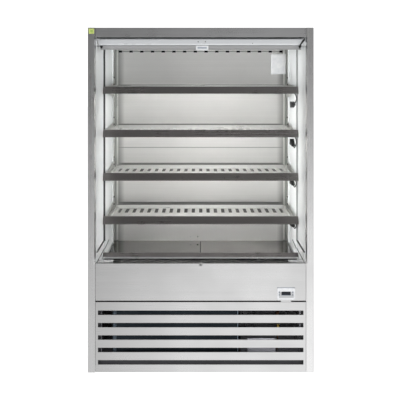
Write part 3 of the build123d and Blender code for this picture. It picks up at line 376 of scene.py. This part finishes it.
def finned(name, colour, width):
    """Close metal fins along X, as wide as the gaps between them, which are painted shade darker than the
    fins.
    """
    shader = Shader(name)
    shader.set(Metallic=0.6)
    wave = shader.add("ShaderNodeTexWave", bands_direction="X")
    wave.inputs["Scale"].default_value = 0.05 * math.pi / width     # a wave is 0.1 * pi / Scale long
    shader.link(shader.place, wave.inputs["Vector"])
    stripes = wave.outputs["Fac"]
    dull = shader.noise(25.0, 4.0)
    body = shader.mix(stripes, tint(colour, 0.35), colour)
    shader.colour(shader.mix(shader.span(dull, 0, 0.6, 0.4, 0.7), body, tint(colour, 0.5)))
    shader.rough(shader.span(dull, 0.4, 0.65, 0.3, 0.7))
    shader.bump(stripes, 0.5, 0.002)
    return shader.material


def cloth_material():
    """Light woven blind cloth."""
    shader = Shader("blind_cloth")
    shader.set(Sheen_Weight=0.3, Sheen_Roughness=0.5)
    weave = []
    for direction in ("X", "Z"):
        wave = shader.add("ShaderNodeTexWave", bands_direction=direction)
        wave.inputs["Scale"].default_value = 320.0
        wave.inputs["Distortion"].default_value = 0.4
        shader.link(shader.place, wave.inputs["Vector"])
        weave.append(wave.outputs["Fac"])
    threads = shader.math("MULTIPLY", *weave)
    shader.colour(shader.mix(threads, (0.62, 0.63, 0.62), (0.80, 0.81, 0.80)))
    shader.rough(shader.span(threads, 0.75, 0.9))
    shader.bump(threads, 0.35, 0.0004)
    return shader.material


copper = copper_material()
display = display_material()
cloth = cloth_material()
evaporator_fins = finned("evaporator_fins", (0.72, 0.74, 0.76), 0.005)
# the condenser's colour is lighter in a narrow band near each end
condenser_fins = brushed("condenser_fins", (0.06, 0.075, 0.09), 0.45, "z", streak=0.2, patches=[
    (zone(X=(-0.479, -0.463)), 4.0),
    (zone(X=(0.2015, 0.2045)), 9.0)])
brass = brushed("brass", (0.86, 0.62, 0.20), 0.3, "z", streak=0.1)

finishes = {
    post_steel: ["end_panel_left", "end_panel_right"],
    front_steel: ["louvre_panel"],
    sill_steel: ["sill_fascia"],
    header_steel: ["header_fascia"],
    back_steel: ["back_panel_upper", "back_panel_lower"],
    tray_steel: [*(f"shelf_tray_{number}" for number in range(1, 5)), "shelf_brackets"],
    upright_steel: ["shelf_uprights"],
    deck_steel: ["deck_tray_left", "deck_tray_right"],
    strip_steel: [*(f"ticket_strip_{number}" for number in range(1, 5)), "deck_rail"],
    trim_steel: ["liner_trims"],
    grille_steel: ["return_grille"],
    aluminium: ["blind_cassette"],
    bar_aluminium: ["blind_bar"],
    galvanised: ["back_wall", "roof_panel", "canopy_soffit", "insulated_tank", "evaporator_fan_panel"],
    white_paint: ["liner_left", "liner_right"],
    white_plastic: ["honeycomb_outlet", "blind_handle", "blind_brackets"],
    bezel_plastic: ["controller_bezel"],
    black_plastic: ["lamp_plugs"],
    rubber: ["levelling_feet"],
    key_plastic: ["button_up", "button_down", "button_set", "button_defrost"],
    lamp_white: ["shelf_lamps"],
    fan_plastic: ["condenser_fan", "evaporator_fan_left", "evaporator_fan_right"],
    black_enamel: ["compressor"],
    motor_paint: ["condenser_fan_motor", "fan_shroud", "base_frame"],
    box_paint: ["electrical_box"],
    copper: ["pipework"],
    display: ["controller_display"],
    cloth: ["blind_roller"],
    evaporator_fins: ["evaporator"],
    condenser_fins: ["condenser"],
}
for material, names in finishes.items():
    for name in names:
        nodes[name].data.materials.clear()
        nodes[name].data.materials.append(material)


# ================================================================ mesh helpers
def piece(name, vertices, faces, material, body="cabinet", slot=None, bevel=0.0, smooth=False):
    """A new mesh piece from its vertices in millimetres (X, depth, height) and faces."""
    mesh = bpy.data.meshes.new(name)
    mesh.from_pydata([at(*vertex) for vertex in vertices], [], faces)
    shell = bmesh.new()
    shell.from_mesh(mesh)
    bmesh.ops.recalc_face_normals(shell, faces=shell.faces)
    shell.to_mesh(mesh)
    shell.free()
    made = bpy.data.objects.new(name, mesh)
    bpy.context.scene.collection.objects.link(made)
    mesh.materials.append(material)
    if bevel:
        rounding = made.modifiers.new("rounding", "BEVEL")
        rounding.width = bevel / 1000
        rounding.segments = 3
        rounding.limit_method = "ANGLE"
        rounding.angle_limit = math.radians(35)
    if smooth:
        mesh.shade_smooth()
    if body:
        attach(made, body)
    return made


def prism(outline, first, last, axis="x"):
    """Vertices and faces of an outline swept between two places along X ("x"), depth ("d") or Z ("z")."""
    def place(u, v, w):
        return {"x": (w, u, v), "d": (u, w, v), "z": (u, v, w)}[axis]

    count = len(outline)
    vertices = [place(u, v, w) for w in (first, last) for u, v in outline]
    faces = [tuple(range(count)), tuple(range(2 * count - 1, count - 1, -1))]
    faces += [(n, (n + 1) % count, (n + 1) % count + count, n + count) for n in range(count)]
    return vertices, faces


def joined(*solids):
    """Several vertex and face lists as one."""
    vertices, faces = [], []
    for more_vertices, more_faces in solids:
        start = len(vertices)
        vertices += more_vertices
        faces += [tuple(index + start for index in face) for face in more_faces]
    return vertices, faces


def slab(x, depths, z):
    """Vertices and faces of a box between two limits each way."""
    corners = [(x[0], depths[0]), (x[1], depths[0]), (x[1], depths[1]), (x[0], depths[1])]
    return prism(corners, z[0], z[1], "z")


def side_slab(sign, x, depths, z):
    """A box on the left or right, whose limits in X are counted from the middle."""
    return slab(sorted((sign * x[0], sign * x[1])), depths, z)


def sheet_of(rows):
    """Vertices and faces of an open sheet, from its rows of points."""
    wide = len(rows[0])
    faces = [(r * wide + c, r * wide + c + 1, (r + 1) * wide + c + 1, (r + 1) * wide + c)
             for r in range(len(rows) - 1) for c in range(wide - 1)]
    return [point for row in rows for point in row], faces


def ring(u, v, radius, sides=16):
    """Outline of a regular polygon about (u, v)."""
    return [(u + radius * math.cos(2 * math.pi * n / sides), v + radius * math.sin(2 * math.pi * n / sides))
            for n in range(sides)]


def rounded(u, v, width, height, radius, steps=4):
    """Outline of a rounded rectangle about (u, v)."""
    outline = []
    for corner, (su, sv) in enumerate(((1, 1), (-1, 1), (-1, -1), (1, -1))):
        for n in range(steps + 1):
            angle = math.pi / 2 * (corner + n / steps)
            outline.append((u + su * (width / 2 - radius) + radius * math.cos(angle),
                            v + sv * (height / 2 - radius) + radius * math.sin(angle)))
    return outline


def screw(x, depth, z, radius, out=-1):
    """A pan head with a dished recess, on a face that looks to the front (-1) or to the rear (1)."""
    sides, height = 14, radius * 0.5
    vertices, faces = [], []
    for rise, wide in ((0.0, radius), (height * 0.5, radius), (height, radius * 0.72)):
        vertices += [(a, depth + out * rise, b) for a, b in ring(x, z, wide, sides)]
    for low in (0, sides):
        for n in range(sides):
            m = (n + 1) % sides
            faces.append((low + n, low + m, low + sides + m, low + sides + n))
    faces.append(tuple(range(sides)))
    rim, dish = 2 * sides, 3 * sides
    vertices += [(a, depth + out * height * 0.35, b) for a, b in ring(x, z, radius * 0.3, 4)]
    for n in range(4):
        quarter = range(round(n * sides / 4), round((n + 1) * sides / 4) + 1)
        faces.append((*(rim + k % sides for k in quarter), dish + (n + 1) % 4, dish + n))
    faces.append((dish + 3, dish + 2, dish + 1, dish))
    return vertices, faces


# ================================================================ lamp leads
# The same points as the leads' routes in the CAD: (distance from the right liner, depth, height below the
# shelf) in millimetres.
lead_routes = (
    ((56, 247, 7), (39, 247, 7), (20, 243, 13), (7, 239, 24), (1, 237, 37), (3, 239, 49), (7, 246, 58),
     (9, 258, 63), (9, 272, 63), (9, 286, 61)),
    ((56, 247, 7), (39, 247, 7), (20, 243, 14), (7, 239, 27), (1, 237, 42), (3, 239, 56), (7, 246, 66),
     (9, 258, 72), (9, 273, 72), (9, 288, 68)),
    ((56, 247, 7), (39, 247, 7), (20, 243, 15), (7, 239, 31), (1, 237, 50), (3, 239, 68), (7, 245, 82),
     (9, 256, 92), (9, 272, 95), (9, 287, 88)),
    ((56, 247, 7), (39, 247, 7), (20, 243, 15), (7, 239, 30), (1, 237, 48), (2, 238, 64), (6, 243, 77),
     (9, 254, 84), (9, 270, 86)),
)
lead_lengths = (0.133, 0.142, 0.158, 0.136)
LEAD_DIAMETER = 0.0055
for number, (level, length, route) in enumerate(zip(LEVELS, lead_lengths, lead_routes), start=1):
    points = [at(REAR_INNER - inset, depth, level - drop) for inset, depth, drop in route]
    line = bpy.data.curves.new(f"lamp_lead_{number}_rubber", "CURVE")
    line.dimensions = "3D"
    line.bevel_depth = LEAD_DIAMETER / 2
    line.bevel_resolution = 5
    line.resolution_u = 16
    line.use_fill_caps = True
    run = line.splines.new("NURBS")
    run.points.add(len(points) - 1)
    for control, point in zip(run.points, points):
        control.co = (*point, 1.0)
    run.order_u = 3
    run.use_endpoint_u = True
    line.materials.append(lead_rubber)
    lead = bpy.data.objects.new(f"lamp_lead_{number}_rubber", line)
    bpy.context.scene.collection.objects.link(lead)
    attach(lead, "cabinet")
    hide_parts(f"lamp_lead_{number}")

# ================================================================ shelf lamps
# The diffusers lie along the lamps' undersides, with a slanted edge at the front and the rear.
lamp_low, lamp_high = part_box("shelf_lamps")
first = lamp_low.y * 1000 + FRONT + 4.5
last = lamp_high.y * 1000 + FRONT - 4.5
lamp_drop = LEVELS[0] - lamp_low.z * 1000
diffusers = []
for level in LEVELS:
    under = level - lamp_drop
    outline = [(first, under), (first + 1.5, under - 1.4), (first + 4.0, under - 2.2),
               (last - 4.0, under - 2.2), (last - 1.5, under - 1.4), (last, under)]
    diffusers.append(prism(outline, -494.0, 494.0))
piece("lamp_diffusers", *joined(*diffusers), lamp_glow, slot="diffuser")

# ================================================================ blind
# The cloth is the last turn on the roll, which it leaves at the front, and the free strip down to the bar.
ROLL_DEPTH, ROLL_LEVEL, ROLL = 56.0, 1775.0, 14.35      # middle and radius of the roll
STRIP_DEPTH, BAR_TOP, CLOTH_WIDTH = 50.0, 1755.5, 1050.0
TURN_STEPS, STRIP_STEPS, COLUMNS = 27, 6, 60
ahead = STRIP_DEPTH - ROLL_DEPTH
leaving_angle = math.atan2(-math.sqrt(ROLL ** 2 - ahead ** 2), ahead)
cloth_line = []
for n in range(TURN_STEPS + 1):
    angle = leaving_angle - math.radians(150) * (TURN_STEPS - n) / TURN_STEPS
    cloth_line.append((ROLL_DEPTH + ROLL * math.cos(angle), ROLL_LEVEL + ROLL * math.sin(angle)))
strip_top = cloth_line[-1][1]
for n in range(1, STRIP_STEPS + 1):
    cloth_line.append((STRIP_DEPTH, strip_top + (BAR_TOP + 0.3 - strip_top) * n / STRIP_STEPS))
cloth_rows = [[(-CLOTH_WIDTH / 2 + CLOTH_WIDTH * n / COLUMNS, depth, z) for n in range(COLUMNS + 1)]
              for depth, z in cloth_line]
blind_cloth = piece("blind_cloth", *sheet_of(cloth_rows), cloth, body=None, slot="cloth", smooth=True)
thickening = blind_cloth.modifiers.new("thickness", "SOLIDIFY")
thickening.thickness = 0.0004
thickening.offset = 0.0
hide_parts("blind_fabric")
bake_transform(blind_cloth)

# A black seal follows the left bracket's flowing edge. A broader dark plate along the right bracket's edge is
# painted shade, the shadow on the cassette's end.
edge = []
for n in range(13):
    share = n / 12
    edge.append((-563.5 + 8.0 * share * share * (3 - 2 * share), 1794.0 - 37.0 * share))
seal = edge + [(x + 2.4, z) for x, z in reversed(edge)]
# outline of the dark plate of painted shade at the right bracket
shadow_plate = [(563.4, 1796.0), (563.4, 1783.0), (554.0, 1774.0), (545.0, 1762.0), (540.0, 1751.0), (531.0, 1750.0),
        (535.0, 1760.0), (543.0, 1772.0), (551.0, 1786.0)]
seal_and_shadow = joined(prism(seal, 27.5, 30.2, "d"), prism(shadow_plate, front_of("blind_brackets") - 0.8, 30.2, "d"))
piece("bracket_seal_and_shadow", *seal_and_shadow, rubber, slot="black_plastic")

cassette_screws = [screw(x, 30.0, z, radius) for x, z, radius in
                   ((-13.5, 1776.0, 2.8), (25.4, 1776.0, 2.8), (281.0, 1768.0, 2.0))]
piece("cassette_screws", *joined(*cassette_screws), strip_steel, slot="aluminium")

# A bare field on the handle, and caps on the bar's ends.
handle_face = front_of("blind_handle")
handle_field = prism(rounded(8.0, 1744.0, 50.0, 9.0, 2.0), handle_face - 0.4, handle_face + 0.4, "d")
piece("handle_field", *handle_field, key_plastic, body="blind_bar", slot="key", bevel=0.25)
cap = [(530.0, 1755.2), (546.2, 1755.2), (546.2, 1749.0), (536.0, 1737.5)]
bar_caps = [prism([(sign * x, z) for x, z in cap], 39.4, 41.2, "d") for sign in SIDES]
piece("bar_end_caps", *joined(*bar_caps), black_plastic, body="blind_bar", slot="black_plastic", bevel=0.5)

# ================================================================ bare sticker and card, clips
sticker_paper = moulded("sticker_paper", (0.45, 0.52, 0.16), 0.55)
sticker_field = moulded("sticker_field", (0.30, 0.40, 0.10), 0.55)
sticker = prism(rounded(-585.0, 1831.0, 29.0, 28.0, 1.5), -0.2, 0.0, "d")
piece("blank_sticker", *sticker, sticker_paper, slot="white_plastic")
field = prism(rounded(-584.0, 1831.0, 15.0, 15.0, 1.0), -0.35, -0.2, "d")
piece("blank_sticker_field", *field, sticker_field, slot="white_plastic")

# The card hangs slightly curved, most of all at its head.
card_paper = moulded("card_paper", (0.94, 0.96, 0.98), 0.6)
card_rows = []
for v in (row / 16 for row in range(17)):
    card_rows.append([(449.0 + 96.0 * u, 561.6 - 1.6 * math.sin(math.pi * u) * (1 - 0.4 * v),
                       1737.0 - 130.0 * v) for u in (column / 12 for column in range(13))])
card = piece("blank_card", *sheet_of(card_rows), card_paper, slot="white_plastic", smooth=True)
card.modifiers.new("thickness", "SOLIDIFY").thickness = 0.0006

clips = joined(*[screw(x, 563.5, 569.0, 5.0) for x in (-65.0, -19.0)])
# a brighter steel for the clips, also used for the painted highlights on the hems
bright = brushed("bright_clip_and_hem_highlight", (0.92, 0.92, 0.92), 0.3, "x")
piece("panel_clips", *clips, bright, slot="stainless")

# ================================================================ foot of the opening
# Black gaskets along the cappings' top and foot, and on along the liners behind the step.
gaskets = []
for sign in SIDES:
    gaskets.append(side_slab(sign, (557.4, 565.0), (32.0, 248.0), (635.0, 639.0)))
    for (start, low), (stop, high), faces in (((32.0, 586.2), (246.0, 590.0), (557.2, 559.2)),
                                              ((250.0, 590.0), (377.0, 601.0), (554.4, 556.2))):
        outline = [(start, low), (stop, high), (stop, high + 5.0), (start, low + 5.0)]
        gaskets.append(prism(outline, *sorted((sign * faces[0], sign * faces[1]))))
piece("wall_gaskets", *joined(*gaskets), rubber, slot="black_plastic")

# Fine grating between the sill's top and the air return, with a plain plate at each end.
GRATING_HALF, GRATING_DEPTHS, GRATING_LEVELS = 477.0, (29.4, 64.0), (584.4, 585.8)
bars = [slab((-GRATING_HALF, GRATING_HALF), depths, GRATING_LEVELS)
        for depths in ((29.4, 32.0), (45.6, 47.6), (61.4, 64.0))]
bars += [slab((x - 1.1, x + 1.1), GRATING_DEPTHS, GRATING_LEVELS) for x in (7.0 * n for n in range(-68, 69))]
piece("return_grating", *joined(*bars), grille_steel, slot="stainless")
end_plates = [side_slab(sign, (GRATING_HALF, 564.0), GRATING_DEPTHS, GRATING_LEVELS) for sign in SIDES]
piece("grating_end_plates", *joined(*end_plates), plate_steel, slot="stainless")

# The header's and the deck rail's hems are strips of a brighter steel: painted highlights along these folded
# edges.
lip = [(3.2, 1800.2), (4.2, 1800.2), (4.2, 1803.4), (3.2, 1803.4)]
piece("header_hem", *prism(lip, -564.0, 564.0), bright, slot="stainless")
hem = [(208.2, 545.2), (211.2, 553.2), (211.8, 553.0), (208.8, 545.0)]
piece("rail_hem", *prism(hem, -561.0, 561.0), bright, slot="stainless")

# A brass union on the liquid line under the filter drier.
nut = prism(ring(432.0, 130.0, 10.5, 6), 186.0, 200.0, "z")
collar = prism(ring(432.0, 130.0, 7.0, 20), 200.0, 206.0, "z")
piece("liquid_line_union", *joined(nut, collar), brass, slot="copper", bevel=0.6)

# ================================================================ uprights, rear skin and deck
# White caps on the uprights' front edges, outside the way of the deck trays as these lift.
upright_low, upright_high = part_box("shelf_uprights")
upright_face = front_of("shelf_uprights")
caps = [side_slab(sign, (547.4, 555.6), (upright_face - 0.8, upright_face),
                  (upright_low.z * 1000 + 1.0, upright_high.z * 1000 - 1.0)) for sign in SIDES]
piece("upright_caps", *joined(*caps), white_paint, slot="white_liner")

# Dark studs in the uprights' free slots and dark rivets beside the brackets' upper hooks; in part they are
# painted shade, standing for the dark dots of shade at these slots.
studs = []
for level in LEVELS:
    for sign in SIDES:
        studs.append(prism(ring(510.0, level + 68.0, 4.5), *sorted((sign * 549.6, sign * 543.0))))
        studs.append(prism(ring(500.0, level + 25.0, 4.0), *sorted((sign * 546.2, sign * 541.0))))
piece("upright_studs", *joined(*studs), rubber, slot="black_plastic", bevel=0.8)

# Fixings of the rear skin: screws along its sides, head and foot and a row of rivets at the tank's floor.
rear_screws = [(sign * 549.0, z) for sign in SIDES
               for z in (32.0, 152.0, 272.0, 580.0, 780.0, 980.0, 1180.0, 1380.0, 1580.0, 1770.0)]
rear_screws += [(x, z) for z in (32.0, 1770.0) for x in (-360.0, -180.0, 0.0, 180.0, 360.0)]
piece("rear_screws", *joined(*[screw(x, BACK, z, 5.0, out=1) for x, z in rear_screws]), trim_steel,
      slot="galvanised")
rivets = [prism(ring(-540.0 + 60.0 * n, 408.0, 3.2, 12), BACK - 0.2, BACK + 1.0, "d") for n in range(19)]
piece("rear_rivets", *joined(*rivets), galvanised, slot="galvanised", bevel=0.4)

# A dark edge strip on the left deck tray closes the joint between the two.
piece("deck_joint", *slab((-4.0, 1.1), (300.0, 554.0), (543.3, 544.6)), rubber, body="deck_tray_left",
      slot="black_plastic", bevel=0.3)

# ================================================================ controller
# A grey strip along the bezel's top edge is a painted shadow of that edge.
piece("bezel_top_shadow", *slab((409.0, 506.0), (2.6, 4.0), (454.0, 457.0)), key_plastic, slot="key", bevel=0.4)
# Outlines of the raised signs on the keys, about each key's middle: up, down, a dot and a star.
marks = {
    "button_up": [[(-2.0, -1.6), (2.0, -1.6), (0.0, 2.0)]],
    "button_down": [[(-2.0, 1.6), (0.0, -2.0), (2.0, 1.6)]],
    "button_set": [ring(0.0, 0.0, 1.5, 20)],
    "button_defrost": [[(-0.35, -2.2), (0.35, -2.2), (0.35, 2.2), (-0.35, 2.2)],
                       [(-2.0, -1.35), (-1.65, -1.95), (2.0, 1.35), (1.65, 1.95)],
                       [(-2.0, 1.35), (1.65, -1.95), (2.0, -1.35), (-1.65, 1.95)]],
}
for name, shapes in marks.items():
    low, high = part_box(name)
    middle_x, middle_z = (low.x + high.x) * 500, (low.z + high.z) * 500
    face = front_of(name)
    raised = joined(*[prism([(middle_x + u, middle_z + v) for u, v in shape], face - 0.15, face + 0.1, "d")
                      for shape in shapes])
    piece(name + "_mark", *raised, black_plastic, body=name, slot="black_plastic")

# ================================================================ stage
# The floor glows for camera rays only, so that it is white and keeps the object's shadow.
floor_shader = Shader("floor")
diffuse = floor_shader.add("ShaderNodeBsdfDiffuse")
diffuse.inputs["Color"].default_value = (0.62, 0.62, 0.62, 1.0)
glow = floor_shader.add("ShaderNodeEmission")
glow.inputs["Color"].default_value = (1.0, 1.0, 1.0, 1.0)
rays = floor_shader.add("ShaderNodeLightPath")
lift = floor_shader.math("MULTIPLY", rays.outputs["Is Camera Ray"], 0.8)
floor_shader.link(lift, glow.inputs["Strength"])
both = floor_shader.add("ShaderNodeAddShader")
floor_shader.link(diffuse.outputs[0], both.inputs[0])
floor_shader.link(glow.outputs[0], both.inputs[1])
floor_shader.link(both.outputs[0], floor_shader.tree.nodes["Material Output"].inputs["Surface"])
floor_mesh = bpy.data.meshes.new("floor")
floor_mesh.from_pydata([(-30, -30, 0), (30, -30, 0), (30, 30, 0), (-30, 30, 0)], [], [(0, 1, 2, 3)])
floor = bpy.data.objects.new("floor", floor_mesh)
bpy.context.scene.collection.objects.link(floor)
floor_mesh.materials.append(floor_shader.material)
floor.visible_glossy = False

# ================================================================ world
# Metal mirrors a pale studio, darkest just above the horizon and towards the sides. Diffuse rays get an even
# grey, and the camera sees white.
world = bpy.data.worlds.new("studio")
bpy.context.scene.world = world
studio = Tree(world)
direction = studio.add("ShaderNodeSeparateXYZ")
studio.link(studio.add("ShaderNodeTexCoord").outputs["Generated"], direction.inputs[0])
height = studio.math("MULTIPLY_ADD", direction.outputs["Z"], 0.5, 0.5)      # 0 below, 1 above
across = studio.math("MULTIPLY_ADD", direction.outputs["X"], 0.5, 0.5)      # 0 on the left, 1 on the right
up_down = studio.greys(height, [(0.0, 0.7), (0.16, 0.8), (0.25, 1.0), (0.34, 0.88), (0.42, 0.56),
                                (0.50, 0.24), (0.56, 0.15), (0.75, 0.40), (1.0, 0.8)])
left_right = studio.greys(across, [(0.0, 0.6), (0.38, 0.34), (0.44, 0.66), (0.50, 0.96), (0.58, 1.0),
                                   (0.63, 1.0), (0.70, 0.55), (1.0, 0.42)])
mirrored = studio.mix(1.0, up_down, left_right, "MULTIPLY")
world_rays = studio.add("ShaderNodeLightPath")
lit = studio.mix(world_rays.outputs["Is Diffuse Ray"], mirrored, (0.45, 0.45, 0.45))
seen = studio.mix(world_rays.outputs["Is Camera Ray"], lit, (1.0, 1.0, 1.0))
background = studio.tree.nodes["Background"]
studio.link(seen, background.inputs["Color"])
background.inputs["Strength"].default_value = 1.25


# ================================================================ lamps
def area_light(name, place, target, size, power):
    lamp = bpy.data.lights.new(name, "AREA")
    lamp.shape = "RECTANGLE"
    lamp.size, lamp.size_y = size
    lamp.energy = power
    holder = bpy.data.objects.new(name, lamp)
    bpy.context.scene.collection.objects.link(holder)
    holder.location = place
    holder.rotation_euler = (Vector(target) - Vector(place)).to_track_quat("-Z", "Y").to_euler()
    holder.visible_camera = False
    holder.visible_glossy = False


def fill_light(name, x, depth, z, size, power):
    """A level lamp inside the cabinet that faces the rear."""
    area_light(name, at(x, depth, z), at(x, 600, z), size, power)


area_light("left", (-3.0, -2.6, 1.5), (0.2, 0, 1.0), (2.0, 2.4), 74.0)
area_light("right", (3.0, -2.6, 1.5), (-0.2, 0, 1.0), (2.0, 2.4), 67.0)
area_light("top", (0, -0.4, 3.4), (0, 0, 0.0), (2.0, 2.0), 15.0)
# the first lies behind the drawn blind, the others behind the louvre panel
fill_light("opening", 60, 74, 1165, (0.50, 1.14), 8.0)
fill_light("machine_space_left", -525, 30, 210, (0.05, 0.30), 0.3)
fill_light("machine_space_right", 400, 30, 285, (0.30, 0.14), 2.0)

bpy.context.scene.view_settings.view_transform = "Standard"
